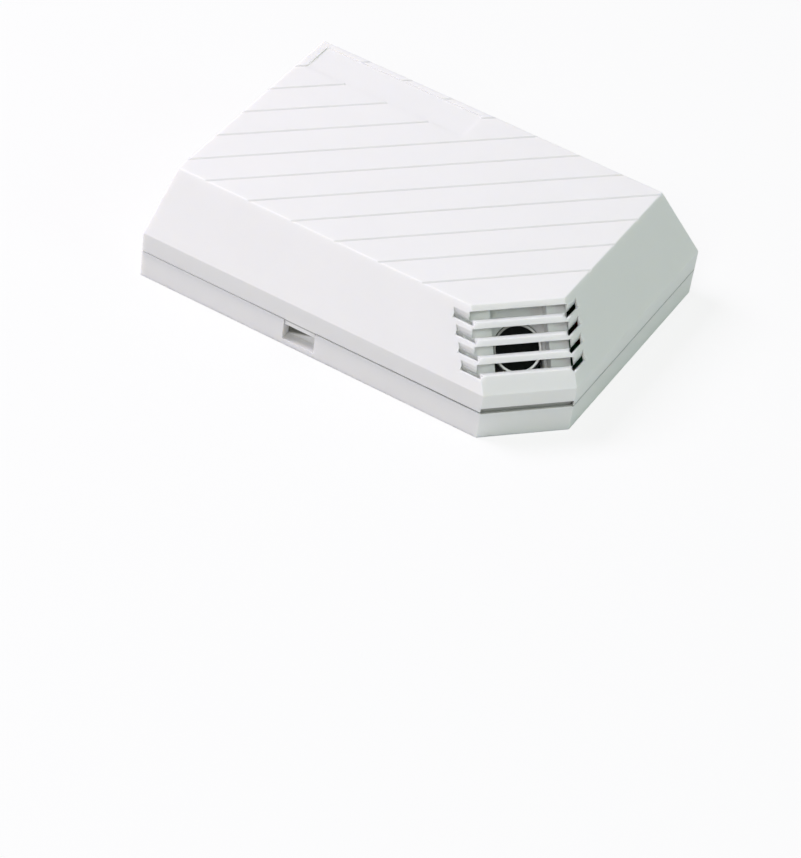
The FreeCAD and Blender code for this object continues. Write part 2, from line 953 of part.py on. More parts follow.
def ceramic_capacitors():
    blocks = []
    for name in ("middle capacitors", "right capacitors"):
        blocks += chip_row(chip_capacitor_size, spot(name), capacitor_count)
    return Part.makeCompound(blocks)


def diodes():
    return Part.makeCompound(chip_row(diode_size, spot("diodes"), diode_count))


def transistor_places():
    x, y = spot("transistors")
    return [(x, y + i * transistor_pitch) for i in range(transistor_count)]


def transistors():
    return Part.makeCompound(
        [on_board([chip_body(transistor_size)], place)[0] for place in transistor_places()]
    )


def transistor_legs():
    """Two legs on one side and one on the other."""
    pieces = []
    for place in transistor_places():
        pair = legs(transistor_size, 2, transistor_leg_pitch, chip_leg_width)[0::2]
        single = legs(transistor_size, 1, transistor_leg_pitch, chip_leg_width)[1::2]
        pieces += on_board(pair + single, place)
    return Part.makeCompound(pieces)


def surge_suppressor():
    """Coated disc that stands on edge, with bevelled rims."""
    radius = suppressor_diameter / 2
    half = suppressor_thickness / 2
    bevel = half / 2
    disc = turned(((radius - bevel, -half), (radius, -bevel), (radius, bevel), (radius - bevel, half)))
    disc.rotate(V(0, 0, 0), V(1, 0, 0), 90)
    x, y = spot("suppressor")
    return moved(disc, x, y, board_top + suppressor_lift + radius)


def suppressor_leads():
    """Square section leads from the lower rim of the disc to the board."""
    x, y = spot("suppressor")
    half = lead_diameter / 2
    middle = board_top + suppressor_lift + suppressor_diameter / 2
    leads = [
        box(foot - half, foot + half, y - half, y + half, board_top, middle)
        for foot in (x - lead_spacing, x + lead_spacing)
    ]
    return Part.makeCompound(leads).cut(surge_suppressor())


def led_spot():
    return (board_right - led_side_gap, outline(board_insets())[2][1] + led_corner_gap)


def status_led():
    x, y = led_spot()
    radius = led_diameter / 2
    collar = led_rim_diameter / 2
    led = turned(
        (
            (collar, 0),
            (collar, radius / 2),
            (radius, radius / 2),
            (radius, led_height - radius / 2),
            (radius / 2, led_height),
        )
    )
    return moved(led, x, y, board_top + led_lift)


def led_leads():
    """Square section leads."""
    x, y = led_spot()
    half = lead_diameter / 2
    leads = []
    for side in (-0.5, 0.5):
        foot = x + side * lead_spacing
        leads.append(box(foot - half, foot + half, y - half, y + half, board_top, board_top + led_lift))
    return Part.makeCompound(leads)


# Jumpers


def jumper_pin_places():
    x, y = spot("jumpers")
    places = []
    for i in range(jumper_pairs):
        for row in (-0.5, 0.5):
            places.append((x + (i - (jumper_pairs - 1) / 2) * jumper_pitch, y + row * jumper_pitch))
    return places


def jumper_header():
    x, y = spot("jumpers")
    half_x = jumper_pairs * jumper_pitch / 2
    body = box(x - half_x, x + half_x, y - jumper_pitch, y + jumper_pitch,
               board_top, board_top + jumper_base_height)
    half = jumper_pin_width / 2
    holes = [
        box(px - half, px + half, py - half, py + half, 0, height) for px, py in jumper_pin_places()
    ]
    return body.cut(holes)


def jumper_pins():
    half = jumper_pin_width / 2
    return Part.makeCompound(
        [
            box(px - half, px + half, py - half, py + half, board_top, board_top + jumper_pin_length)
            for px, py in jumper_pin_places()
        ]
    )


def jumper_shunts():
    """Caps that bridge the two pins of a pair, open at the top."""
    x, y = spot("jumpers")
    z0 = board_top + jumper_base_height
    half = jumper_pin_width / 2
    caps = []
    for i in range(shunt_count):
        px = x + (i - (jumper_pairs - 1) / 2) * jumper_pitch
        side = jumper_pitch / 2 - fit_clearance
        cap = box(px - side, px + side, y - 2 * side, y + 2 * side, z0, z0 + shunt_height)
        for row in (-0.5, 0.5):
            py = y + row * jumper_pitch
            cap = cap.cut(box(px - half, px + half, py - half, py + half, z0 - 1, z0 + shunt_height + 1))
        caps.append(cap)
    return Part.makeCompound(caps)


# Tamper contact


def tamper_spring():
    """Bent strip: a foot on the board, a riser, an arm under the post and a turned down tip."""
    x, y = spot("tamper")
    half = spring_width / 2
    right = x + half
    left = right - spring_length
    z0 = board_top
    z1 = board_top + spring_height
    tip = z0 + contact_height
    t = spring_thickness
    profile = [
        V(left - spring_foot, 0, z0),
        V(left + t, 0, z0),
        V(left + t, 0, z1 - t),
        V(right - t, 0, z1 - t),
        V(right - t, 0, tip),
        V(right, 0, tip),
        V(right, 0, z1),
        V(left, 0, z1),
        V(left, 0, z0 + t),
        V(left - spring_foot, 0, z0 + t),
    ]
    return moved(prism(profile, V(0, spring_width, 0)), 0, y - half, 0)


def tamper_contact():
    x, y = spot("tamper")
    half = spring_width / 2
    side = half + contact_margin
    right = x + half
    return box(right - side, right + contact_margin, y - side, y + side,
               board_top, board_top + contact_height)


PIECES = {
    "front_cover": front_cover,
    "base": base,
    "circuit_board": circuit_board,
    "board_screws": board_screws,
    "microphone_can": microphone_can,
    "microphone_felt": microphone_felt,
    "microphone_boot": microphone_boot,
    "microphone_leads": microphone_leads,
    "terminal_block": terminal_block,
    "terminal_clamps": terminal_clamps,
    "terminal_screws": terminal_screws,
    "relay_case": relay_case,
    "relay_pins": relay_pins,
    "processor_chip": processor_chip,
    "processor_pins": processor_pins,
    "amplifier_chip": amplifier_chip,
    "amplifier_pins": amplifier_pins,
    "crystal_can": crystal_can,
    "electrolytic_capacitors": electrolytic_capacitors,
    "ceramic_capacitors": ceramic_capacitors,
    "resistors": resistors,
    "diodes": diodes,
    "transistors": transistors,
    "transistor_legs": transistor_legs,
    "surge_suppressor": surge_suppressor,
    "suppressor_leads": suppressor_leads,
    "status_led": status_led,
    "led_leads": led_leads,
    "jumper_header": jumper_header,
    "jumper_pins": jumper_pins,
    "jumper_shunts": jumper_shunts,
    "tamper_spring": tamper_spring,
    "tamper_contact": tamper_contact,
}

os.makedirs("parts", exist_ok=True)
for node, make in PIECES.items():
    shape = make()
    shape.exportStep("parts/" + node + ".step")
    print(node, len(shape.Solids), round(shape.Volume, 1), shape.isValid())
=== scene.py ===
import bmesh
import bpy
from mathutils import Matrix, Vector


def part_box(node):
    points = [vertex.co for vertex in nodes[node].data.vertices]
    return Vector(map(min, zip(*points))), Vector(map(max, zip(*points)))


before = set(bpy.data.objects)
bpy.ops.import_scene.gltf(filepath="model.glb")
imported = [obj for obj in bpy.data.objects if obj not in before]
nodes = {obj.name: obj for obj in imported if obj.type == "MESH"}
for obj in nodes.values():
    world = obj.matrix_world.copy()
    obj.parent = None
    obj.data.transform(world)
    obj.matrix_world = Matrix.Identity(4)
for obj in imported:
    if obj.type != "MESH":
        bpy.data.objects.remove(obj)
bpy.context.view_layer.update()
print("frame loaded:", len(nodes), "nodes")


# Camera, floor and light

cameraView = {
    "place": (0.1960, -0.4198, 0.3836),  # metres, from the middle of the wall face
    "right": (0.8534, 0.5090, 0.1123),
    "down": (0.4178, -0.5393, -0.7311),
    "lens": 132.4,
    "sensor": 36.0,
    "nearest": 0.01,
    "farthest": 20.0,
}


def makeCamera(view):
    right = Vector(view["right"]).normalized()
    down = Vector(view["down"])
    down = (down - right * down.dot(right)).normalized()
    back = right.cross(-down)
    data = bpy.data.cameras.new("camera")
    data.lens = view["lens"]
    data.sensor_width = view["sensor"]
    data.clip_start = view["nearest"]
    data.clip_end = view["farthest"]
    camera = bpy.data.objects.new("camera", data)
    turn = Matrix((right, -down, back)).transposed()
    camera.matrix_world = Matrix.Translation(view["place"]) @ turn.to_4x4()
    bpy.context.scene.collection.objects.link(camera)
    bpy.context.scene.camera = camera


class Signal:
    # one output socket of a node, to be used in sums
    def __init__(self, wiring, socket):
        self.wiring = wiring
        self.socket = socket

    def maths(self, operation, *values):
        inputs = dict(enumerate(values))
        return self.wiring.node("ShaderNodeMath", {"operation": operation}, inputs)["Value"]

    def __add__(self, other):
        return self.maths("ADD", self, other)

    def __sub__(self, other):
        return self.maths("SUBTRACT", self, other)

    def __mul__(self, other):
        return self.maths("MULTIPLY", self, other)

    def __truediv__(self, other):
        return self.maths("DIVIDE", self, other)

    def __gt__(self, other):
        return self.maths("GREATER_THAN", self, other)

    def __lt__(self, other):
        return self.maths("LESS_THAN", self, other)

    def __abs__(self):
        return self.maths("ABSOLUTE", self)

    def larger(self, other):
        return self.maths("MAXIMUM", self, other)

    def smaller(self, other):
        return self.maths("MINIMUM", self, other)

    def fraction(self):
        return self.maths("FRACT", self)

    def root(self):
        return self.maths("SQRT", self)

    def bearing(self, other):
        return self.maths("ARCTAN2", self, other)

    def clipped(self):
        return self.larger(0.0).smaller(1.0)

    def contrasted(self, gain, cut):
        return (self * gain - cut).clipped()

    def between(self, low, high):
        return (self > low) * (self < high)


class Wiring:
    # the nodes of one material or of the world
    def __init__(self, owner):
        owner.use_nodes = True
        self.tree = owner.node_tree

    def node(self, kind, settings=None, inputs=None):
        # every node but the first ones comes from here: its settings, then its sockets
        made = self.tree.nodes.new(kind)
        for key, value in (settings or {}).items():
            setattr(made, key, value)
        for key, value in (inputs or {}).items():
            self.feed(made.inputs[key], value)
        return {out.identifier: Signal(self, out) for out in made.outputs}

    def feed(self, socket, value):
        if isinstance(value, Signal):
            self.tree.links.new(value.socket, socket)
        elif socket.type == "RGBA":
            socket.default_value = (*value, 1.0)
        else:
            socket.default_value = value

    def seenDirectly(self):
        # 1 where the camera, a mirror or glass looks at the surface
        rays = self.node("ShaderNodeLightPath")
        seen = rays["Is Camera Ray"] + rays["Is Glossy Ray"] + rays["Is Transmission Ray"]
        return seen.clipped()

    def mixedShaders(self, factor, first, second):
        return self.node("ShaderNodeMixShader", None, {0: factor, 1: first, 2: second})["Shader"]


class Finish(Wiring):
    # one material: constants go on its shader's own sockets
    def __init__(self, name, **constants):
        self.material = bpy.data.materials.new(name)
        super().__init__(self.material)
        self.shader = self.tree.nodes["Principled BSDF"]
        for socket, value in constants.items():
            self.shader.inputs[socket.replace("_", " ")].default_value = value

    def place(self):
        return self.node("ShaderNodeTexCoord")["Object"]

    def axes(self, vector):
        parts = self.node("ShaderNodeSeparateXYZ", None, {"Vector": vector})
        return parts["X"], parts["Y"], parts["Z"]

    def vectorMaths(self, operation, *values):
        # the result is on the socket Value for a number, and on the socket Vector for a vector
        inputs = dict(enumerate(values))
        return self.node("ShaderNodeVectorMath", {"operation": operation}, inputs)

    def grain(self, size, detail=2.0, roughness=0.5, vector=None):
        # soft noise whose features are about this large, in metres
        inputs = {"Vector": vector or self.place(), "Scale": 1.0 / size}
        inputs.update({"Detail": detail, "Roughness": roughness})
        return self.node("ShaderNodeTexNoise", None, inputs)["Fac"]

    def stretched(self, scale, turn=(0.0, 0.0, 0.0)):
        # the place scaled along each axis, then turned
        inputs = {"Vector": self.place(), "Rotation": turn, "Scale": scale}
        return self.node("ShaderNodeMapping", {"vector_type": "POINT"}, inputs)["Vector"]

    def blend(self, mask, first, second):
        # the colour mix has its factor, first and second colour on sockets 0, 6 and 7
        inputs = {0: mask, 6: first, 7: second}
        return self.node("ShaderNodeMix", {"data_type": "RGBA"}, inputs)["Result_Color"]

    def paint(self, colour=None, roughness=None, metallic=None):
        wanted = {"Base Color": colour, "Roughness": roughness, "Metallic": metallic}
        for socket, value in wanted.items():
            if value is not None:
                self.feed(self.shader.inputs[socket], value)

    def bump(self, height, depth):
        raised = self.node("ShaderNodeBump", None, {"Height": height, "Distance": depth})
        self.feed(self.shader.inputs["Normal"], raised["Normal"])


def dress(material, *names):
    for name in names:
        slots = nodes[name].data.materials
        slots.clear()
        slots.append(material)


studio = {
    "floorSize": 6.0,
    "floorGap": 0.00005,
    "floorColour": (0.82, 0.82, 0.82),
    "floorRoughness": 0.9,
    "floorShine": 0.1,
    "floorWhite": 0.82,  # how far the floor fades to the white background, as the camera sees it
    "white": (1.0, 1.0, 1.0),
    "skyColour": (1.0, 1.0, 1.0),
    "skyLevel": 0.24,
    "lamps": {  # place, size, colour, watts
        "keyLamp": ((-0.75, -0.14, 0.92), 0.55, (0.955, 0.895, 1.0), 11.75),
        "frontLamp": ((0.10, -0.80, 0.70), 0.40, (0.96, 0.98, 0.98), 2.78),
        "rightLamp": ((0.75, 0.10, 0.45), 0.40, (0.70, 1.0, 0.84), 1.35),
    },
}


def makeFloor(values):
    mesh = bpy.data.meshes.new("floor")
    shape = bmesh.new()
    bmesh.ops.create_grid(shape, x_segments=1, y_segments=1, size=values["floorSize"] / 2)
    bmesh.ops.translate(shape, verts=shape.verts, vec=(0.0, 0.0, -values["floorGap"]))
    shape.to_mesh(mesh)
    shape.free()
    floor = bpy.data.objects.new("floor", mesh)
    bpy.context.scene.collection.objects.link(floor)
    finish = Finish(
        "floorPaper",
        Roughness=values["floorRoughness"],
        Specular_IOR_Level=values["floorShine"],
    )
    finish.paint(colour=values["floorColour"])
    glow = {"Color": values["white"], "Strength": 1.0}
    white = finish.node("ShaderNodeEmission", None, glow)["Emission"]
    factor = finish.seenDirectly() * values["floorWhite"]
    own = Signal(finish, finish.shader.outputs["BSDF"])
    mixed = finish.mixedShaders(factor, own, white)
    finish.feed(finish.tree.nodes["Material Output"].inputs["Surface"], mixed)
    mesh.materials.append(finish.material)


def makeWorld(values):
    # soft light from all round, and plain white behind
    world = bpy.data.worlds.new("studio")
    bpy.context.scene.world = world
    wiring = Wiring(world)
    light = {"Color": values["skyColour"], "Strength": values["skyLevel"]}
    sky = wiring.node("ShaderNodeBackground", None, light)["Background"]
    plain = {"Color": values["white"], "Strength": 1.0}
    backdrop = wiring.node("ShaderNodeBackground", None, plain)["Background"]
    mixed = wiring.mixedShaders(wiring.seenDirectly(), sky, backdrop)
    wiring.feed(wiring.tree.nodes["World Output"].inputs["Surface"], mixed)


def makeLamp(name, place, size, colour, watts):
    # a round lamp that faces the part
    data = bpy.data.lights.new(name, "AREA")
    data.shape = "DISK"
    data.size = size
    data.color = colour
    data.energy = watts
    lamp = bpy.data.objects.new(name, data)
    lamp.location = place
    lamp.rotation_euler = (-Vector(place)).to_track_quat("-Z", "Y").to_euler()
    bpy.context.scene.collection.objects.link(lamp)


makeCamera(cameraView)
makeFloor(studio)
makeWorld(studio)
for lampName, lampValues in studio["lamps"].items():
    makeLamp(lampName, *lampValues)
bpy.context.scene.view_settings.view_transform = "Standard"
print("camera, floor and light")


# Moulded plastic of the cover and the base

housingLook = {
    "colour": (0.845, 0.840, 0.828),
    "deeper": (0.815, 0.812, 0.798),
    "cloudSize": 0.012,
    "cloudRoughness": 0.04,
    "pebbleSize": 0.00016,
    "pebbleRoughness": 0.10,
    "pebbleDepth": 0.000006,
    "roughness": 0.52,
    "shine": 0.4,
    "glow": 1.0,  # share of the light that enters the plastic and leaves it a little further on
    "glowColour": (1.0, 0.97, 0.88),
    "glowDepth": 0.0010,
}

# Painted shade in the part line, in the grooves and in the pry pocket

paintedShadeLook = {
    # colour of the painted shade
    "colour": (0.15, 0.15, 0.13),
    "lineHeight": 0.0057,  # of the line between cover and base
    "belowLine": 0.0004,
    "aboveLine": 0.0014,
    "seamHalf": 0.00014,  # half the height of the painted shadow line on the right side and over the notch
    "lineShade": 0.55,
    "cornerFace": 0.0613,  # x minus y just inside the cut corner's face
    "sideFaces": 0.0428,  # just inside the left and right faces
    "endFaces": 0.0307,  # just inside the front and back faces
    "notchEnds": (-0.0113, -0.0045),
    "tabFront": -0.0306,
    "stopFace": -0.0287,  # of the stop at the back of the pry pocket
    "stopReach": 0.0002,
    "stopFoot": 0.0010,  # where the shade on the stop begins, at its left end
    "stopSlope": 0.30,
    "stopFade": 0.0005,
    "flankUp": (0.78, 0.9),  # how far up the flanks of the V grooves face
    "flankSkew": 0.1,
    "grooveFloor": 0.0217,
    "grooveEnd": 0.0440,  # x minus y, short of the cut corner's top edge
    "grooveShade": 0.11,
}


def paintedShadeOn(finish, look):
    x, y, z = finish.axes(finish.place())
    height = look["lineHeight"]
    left, right = look["notchEnds"]
    inside = (abs(x) < look["sideFaces"]) * (abs(y) < look["endFaces"]) * (x - y < look["cornerFace"])
    # painted shade in the sunk part line inside the housing, and a painted shadow line outside it on
    # the right side and over the notch
    sunk = inside * z.between(height - look["belowLine"], height + look["aboveLine"])
    alongNotch = x.between(left, right)
    outside = (alongNotch * (y < look["tabFront"])).larger(x > look["sideFaces"])
    seam = outside * z.between(height - look["seamHalf"], height + look["seamHalf"])
    lines = sunk.larger(seam) * look["lineShade"]
    # painted shade on the pry pocket's stop, deep at its left end and thinning out to the right
    foot = (x - left) * look["stopSlope"]
    fade = ((z - look["stopFoot"] - foot) / look["stopFade"]).clipped() * (z < height)
    stop = alongNotch * (abs(y - look["stopFace"]) < look["stopReach"]) * fade
    # painted shade on the flanks of the V grooves, which lean by about 34 degrees, square to the
    # grooves
    facingX, facingY, facingZ = finish.axes(finish.node("ShaderNodeNewGeometry")["True Normal"])
    flank = facingZ.between(*look["flankUp"]) * (abs(facingX + facingY) < look["flankSkew"])
    groove = flank * (z > look["grooveFloor"]) * (x - y < look["grooveEnd"])
    return lines.larger(stop).larger(groove * look["grooveShade"])


def mouldedPlastic(name, look, paintedShade):
    finish = Finish(
        name,
        Specular_IOR_Level=look["shine"],
        Subsurface_Weight=look["glow"],
        Subsurface_Radius=look["glowColour"],
        Subsurface_Scale=look["glowDepth"],
    )
    clouds = finish.grain(look["cloudSize"], detail=3.0)
    pebbles = finish.grain(look["pebbleSize"], detail=3.0, roughness=0.6)
    clean = finish.blend(clouds, look["colour"], look["deeper"])
    uneven = (pebbles - 0.5) * look["pebbleRoughness"] + clouds * look["cloudRoughness"]
    # the clean colour darkened by painted shade in the part line, the grooves and the pry pocket
    finish.paint(
        colour=finish.blend(paintedShadeOn(finish, paintedShade), clean, paintedShade["colour"]),
        roughness=uneven + look["roughness"],
    )
    finish.bump(pebbles, look["pebbleDepth"])
    return finish.material


dress(mouldedPlastic("housingPlastic", housingLook, paintedShadeLook), "front_cover", "base")
print("housing plastic")


# Microphone

capsuleLook = {
    "axis": (0.513, -0.513, 0.689),
    "colour": (0.80, 0.80, 0.79),
    # painted shade on the rim's upper left part, under the blades, mixed with random stains
    "darkening": (0.22, 0.22, 0.21),  # on the rim's upper left part, under the blades
    "shadedSide": (-0.60, -0.25, 0.76),
    "shadeReach": 0.0047,  # half the rim's width
    "stainSize": 0.0022,
    "stainShare": 0.6,
    "stainRoughness": 0.08,
    "ringWidth": 0.00012,
    "ringRoughness": 0.12,
    "ringDepth": 0.000004,
    "roughness": 0.24,
}


def turnedMetal(name, look, node):
    # rings left by the lathe, random stains, and painted shade that grows towards one side
    finish = Finish(name, Metallic=1.0)
    low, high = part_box(node)
    offset = finish.vectorMaths("SUBTRACT", finish.place(), (low + high) / 2)["Vector"]
    height = finish.vectorMaths("DOT_PRODUCT", offset, Vector(look["axis"]).normalized())["Value"]
    length = finish.vectorMaths("LENGTH", offset)["Value"]
    radius = (length * length - height * height).root()
    rings = finish.node("ShaderNodeCombineXYZ", None, {"X": radius, "Y": height})["Vector"]
    lines = finish.grain(look["ringWidth"], vector=rings)
    stain = finish.grain(look["stainSize"], detail=3.0)
    # painted shade growing towards one side of the rim, with random stains on top
    side = finish.vectorMaths("DOT_PRODUCT", offset, look["shadedSide"])["Value"]
    shadeAndStain = side / look["shadeReach"] + stain * look["stainShare"]
    uneven = lines * look["ringRoughness"] + stain * look["stainRoughness"]
    finish.paint(
        colour=finish.blend(shadeAndStain.clipped(), look["colour"], look["darkening"]),
        roughness=uneven + look["roughness"],
    )
    finish.bump(lines, look["ringDepth"])
    return finish.material


feltLook = {
    "colour": (0.003, 0.004, 0.0035),
    "fluff": (0.018, 0.020, 0.018),
    "fluffGain": 3.0,
    "fluffCut": 1.45,
    "fibre": 0.00012,
    "fibreDepth": 0.00008,
    "shine": 0.1,
    "sheen": 0.2,
    "layers": (  # stretch and turn of the fibres
        ((1.0, 0.22, 0.4), (0.3, 0.2, 0.6)),
        ((0.25, 1.0, 0.4), (0.1, 0.4, -0.4)),
    ),
}


def blackFelt(name, look):
    finish = Finish(
        name,
        Roughness=1.0,
        Specular_IOR_Level=look["shine"],
        Sheen_Weight=look["sheen"],
    )
    oneWay, otherWay = [
        finish.grain(look["fibre"], detail=3.0, roughness=0.7, vector=finish.stretched(*layer))
        for layer in look["layers"]
    ]
    fibres = oneWay.larger(otherWay)
    fluff = fibres.contrasted(look["fluffGain"], look["fluffCut"])
    finish.paint(colour=finish.blend(fluff, look["colour"], look["fluff"]))
    finish.bump(fibres, look["fibreDepth"])
    return finish.material


rubberLook = {
    "colour": (0.018, 0.018, 0.019),
    "bloom": (0.035, 0.035, 0.036),
    "bloomSize": 0.0016,
    "bloomGain": 1.8,
    "bloomCut": 0.5,
    "grain": 0.00025,
    "grainRoughness": 0.2,
    "grainDepth": 0.00001,
    "roughness": 0.62,
    "shine": 0.35,
}


def blackRubber(name, look):
    finish = Finish(name, Specular_IOR_Level=look["shine"])
    grain = finish.grain(look["grain"], detail=3.0, roughness=0.6)
    bloom = finish.grain(look["bloomSize"], detail=4.0).contrasted(look["bloomGain"], look["bloomCut"])
    finish.paint(
        colour=finish.blend(bloom, look["colour"], look["bloom"]),
        roughness=grain * look["grainRoughness"] + look["roughness"],
    )
    finish.bump(grain, look["grainDepth"])
    return finish.material


dress(turnedMetal("capsuleMetal", capsuleLook, "microphone_can"), "microphone_can")
dress(blackFelt("capsuleFelt", feltLook), "microphone_felt")
dress(blackRubber("bootRubber", rubberLook), "microphone_boot")
print("microphone finishes")


# Metals of screws, leads, pins and the tamper spring

metalWear = {
    "patchSize": 0.0018,
    "patchGain": 2.2,
    "patchCut": 0.7,
    "patchRoughness": 0.10,
    "scratchRoughness": 0.16,
    "scratchDepth": 0.000005,
}
# along has the smallest number on the axis that the scratches follow
screwLook = {
    "colour": (0.66, 0.66, 0.645),
    "stain": (0.52, 0.53, 0.50),
    "roughness": 0.22,
    "scratch": 0.00018,
    "along": (1.0, 0.25, 1.0),
}
tinLook = {
    "colour": (0.74, 0.74, 0.72),
    "stain": (0.60, 0.60, 0.57),
    "roughness": 0.18,
    "scratch": 0.00025,
    "along": (1.0, 1.0, 0.12),
}
crystalLook = {
    "colour": (0.76, 0.76, 0.75),
    "stain": (0.66, 0.66, 0.64),
    "roughness": 0.14,
    "scratch": 0.00020,
    "along": (1.0, 0.2, 1.0),
}
brassLook = {
    "colour": (0.80, 0.62, 0.27),
    "stain": (0.66, 0.48, 0.20),
    "roughness": 0.16,
    "scratch": 0.00015,
    "along": (1.0, 1.0, 0.12),
}
bronzeLook = {
    "colour": (0.74, 0.52, 0.26),
    "stain": (0.55, 0.36, 0.18),
    "roughness": 0.22,
    "scratch": 0.00022,
    "along": (0.15, 1.0, 1.0),
}


def drawnMetal(name, look, wear):
    # fine scratches under patches of tarnish
    finish = Finish(name, Metallic=1.0)
    lengthened = finish.stretched(look["along"])
    scratches = finish.grain(look["scratch"], detail=3.0, roughness=0.65, vector=lengthened)
    patches = finish.grain(wear["patchSize"], detail=4.0, roughness=0.6)
    darkening = patches.contrasted(wear["patchGain"], wear["patchCut"])
    uneven = scratches * wear["scratchRoughness"] + patches * wear["patchRoughness"]
    finish.paint(
        colour=finish.blend(darkening, look["colour"], look["stain"]),
        roughness=uneven + look["roughness"],
    )
    finish.bump(scratches, wear["scratchDepth"])
    return finish.material


tinnedWire = drawnMetal("tinnedWire", tinLook, metalWear)
dress(drawnMetal("screwSteel", screwLook, metalWear), "board_screws", "terminal_screws")
dress(tinnedWire, "microphone_leads", "terminal_clamps", "relay_pins", "processor_pins")
dress(tinnedWire, "amplifier_pins", "transistor_legs", "suppressor_leads", "led_leads")
dress(tinnedWire, "tamper_contact")
dress(drawnMetal("crystalMetal", crystalLook, metalWear), "crystal_can")
dress(drawnMetal("pinBrass", brassLook, metalWear), "jumper_pins")
dress(drawnMetal("springBronze", bronzeLook, metalWear), "tamper_spring")
print("metals")


# Circuit board

boardLook = {
    "mask": (0.035, 0.17, 0.08),
    "overCopper": (0.06, 0.29, 0.13),
    "trackPitch": 0.00254,
    "trackWidth": 0.30,  # share of the pitch
    "slantedPitch": 1.414,
    "squarePitches": 5,  # each square of the board takes one direction of tracks
    "acrossChance": 0.35,
    "alongChance": 0.65,
    "slantedChance": (0.45, 0.6),
    "trackShare": 0.85,
    "silk": (0.72, 0.73, 0.70),
    "silkLine": 0.00018,
    "silkGap": 0.0007,
    "silkDepth": 0.0001,
    "silkRoughness": 0.3,
    "silkHeight": 0.6,
    "outlined": ("relay_case", "processor_pins", "terminal_block", "crystal_can", "jumper_header"),
    "grain": 0.0009,
    "grainShare": 0.15,
    "grainRoughness": 0.1,
    "grainHeight": 0.3,
    "trackDepth": 0.00003,
    "roughness": 0.26,
    "shine": 0.5,
}


def trackLines(finish, look, x, y):
    pitch, half = look["trackPitch"], look["trackWidth"] / 2
    # one random number for each square of the board
    square = finish.stretched((1.0 / (look["squarePitches"] * pitch),) * 3)
    cells = finish.vectorMaths("FLOOR", square)["Vector"]
    noise = finish.node("ShaderNodeTexWhiteNoise", {"noise_dimensions": "2D"}, {"Vector": cells})
    chance = noise["Value"]
    across, along, slanted = [
        abs((distance / width).fraction() - 0.5) < half
        for distance, width in ((x, pitch), (y, pitch), (x + y, look["slantedPitch"] * pitch))
    ]
    straight = across * (chance < look["acrossChance"]) + along * (chance > look["alongChance"])
    return (straight + slanted * chance.between(*look["slantedChance"])).clipped()


def silkOutlines(look, x, y, z):
    silk = None
    for node in look["outlined"]:
        low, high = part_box(node)
        centre, half = (low + high) / 2, (high - low) / 2
        beyond = (abs(x - centre.x) - half.x).larger(abs(y - centre.y) - half.y)
        line = abs(beyond - look["silkGap"]) < look["silkLine"] / 2
        silk = line if silk is None else silk.larger(line)
    return silk * (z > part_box("circuit_board")[1].z - look["silkDepth"])


def solderMask(name, look):
    finish = Finish(name, Specular_IOR_Level=look["shine"])
    x, y, z = finish.axes(finish.place())
    tracks = trackLines(finish, look, x, y)
    silk = silkOutlines(look, x, y, z)
    grain = finish.grain(look["grain"], detail=3.0)
    paler = tracks * look["trackShare"] + grain * look["grainShare"]
    green = finish.blend(paler, look["mask"], look["overCopper"])
    finish.paint(
        colour=finish.blend(silk, green, look["silk"]),
        roughness=silk * look["silkRoughness"] + grain * look["grainRoughness"] + look["roughness"],
    )
    height = tracks + silk * look["silkHeight"] + grain * look["grainHeight"]
    finish.bump(height, look["trackDepth"])
    return finish.material


dress(solderMask("solderMask", boardLook), "circuit_board")
print("circuit board")


# Plastics and coatings of the parts on the board

terminalLook = {
    "colour": (0.030, 0.034, 0.036),
    "deeper": (0.020, 0.023, 0.025),
    "grain": 0.0004,
    "grainDepth": 0.000008,
    "roughness": 0.24,
}
relayLook = {
    "colour": (0.72, 0.70, 0.61),
    "deeper": (0.68, 0.66, 0.57),
    "grain": 0.0003,
    "grainDepth": 0.000008,
    "roughness": 0.20,
}
headerLook = {
    "colour": (0.026, 0.026, 0.026),
    "deeper": (0.018, 0.018, 0.018),
    "grain": 0.0003,
    "grainDepth": 0.000008,
    "roughness": 0.32,
}
shuntLook = {
    "colour": (0.035, 0.11, 0.38),
    "deeper": (0.028, 0.09, 0.31),
    "grain": 0.0003,
    "grainDepth": 0.000008,
    "roughness": 0.20,
}
varistorLook = {
    "colour": (0.035, 0.15, 0.40),
    "deeper": (0.025, 0.11, 0.31),
    "grain": 0.0011,
    "grainDepth": 0.00006,
    "roughness": 0.12,
}
castWear = {
    "patchSize": 0.0035,
    "patchShare": 0.4,
    "patchRoughness": 0.08,
    "grainShare": 0.6,
    "grainRoughness": 0.14,
    "shine": 0.45,
}


def castPlastic(name, look, wear):
    finish = Finish(name, Specular_IOR_Level=wear["shine"])
    grain = finish.grain(look["grain"], detail=3.0, roughness=0.6)
    patches = finish.grain(wear["patchSize"], detail=3.0)
    darker = grain * wear["grainShare"] + patches * wear["patchShare"]
    uneven = grain * wear["grainRoughness"] + patches * wear["patchRoughness"]
    finish.paint(
        colour=finish.blend(darker, look["colour"], look["deeper"]),
        roughness=uneven + look["roughness"],
    )
    finish.bump(grain, look["grainDepth"])
    return finish.material


chipLook = {
    "colour": (0.022, 0.022, 0.024),
    "dulled": (0.034, 0.034, 0.036),
    "dulledShare": 0.5,
    "dulledRoughness": 0.12,
    "facingUp": 0.9,
    "grain": 0.00009,
    "grainShare": 0.5,
    "grainRoughness": 0.2,
    "grainDepth": 0.00001,
    "roughness": 0.45,
    "shine": 0.4,
}


def chipPlastic(name, look):
    # moulded body with a paler, duller top
    finish = Finish(name, Specular_IOR_Level=look["shine"])
    grain = finish.grain(look["grain"], detail=4.0, roughness=0.7)
    normal = finish.node("ShaderNodeNewGeometry")["Normal"]
    upwards = finish.axes(normal)[2] > look["facingUp"]
    paler = grain * look["grainShare"] + upwards * look["dulledShare"]
    uneven = grain * look["grainRoughness"] + upwards * look["dulledRoughness"]
    finish.paint(
        colour=finish.blend(paler, look["colour"], look["dulled"]),
        roughness=uneven + look["roughness"],
    )
    finish.bump(grain, look["grainDepth"])
    return finish.material


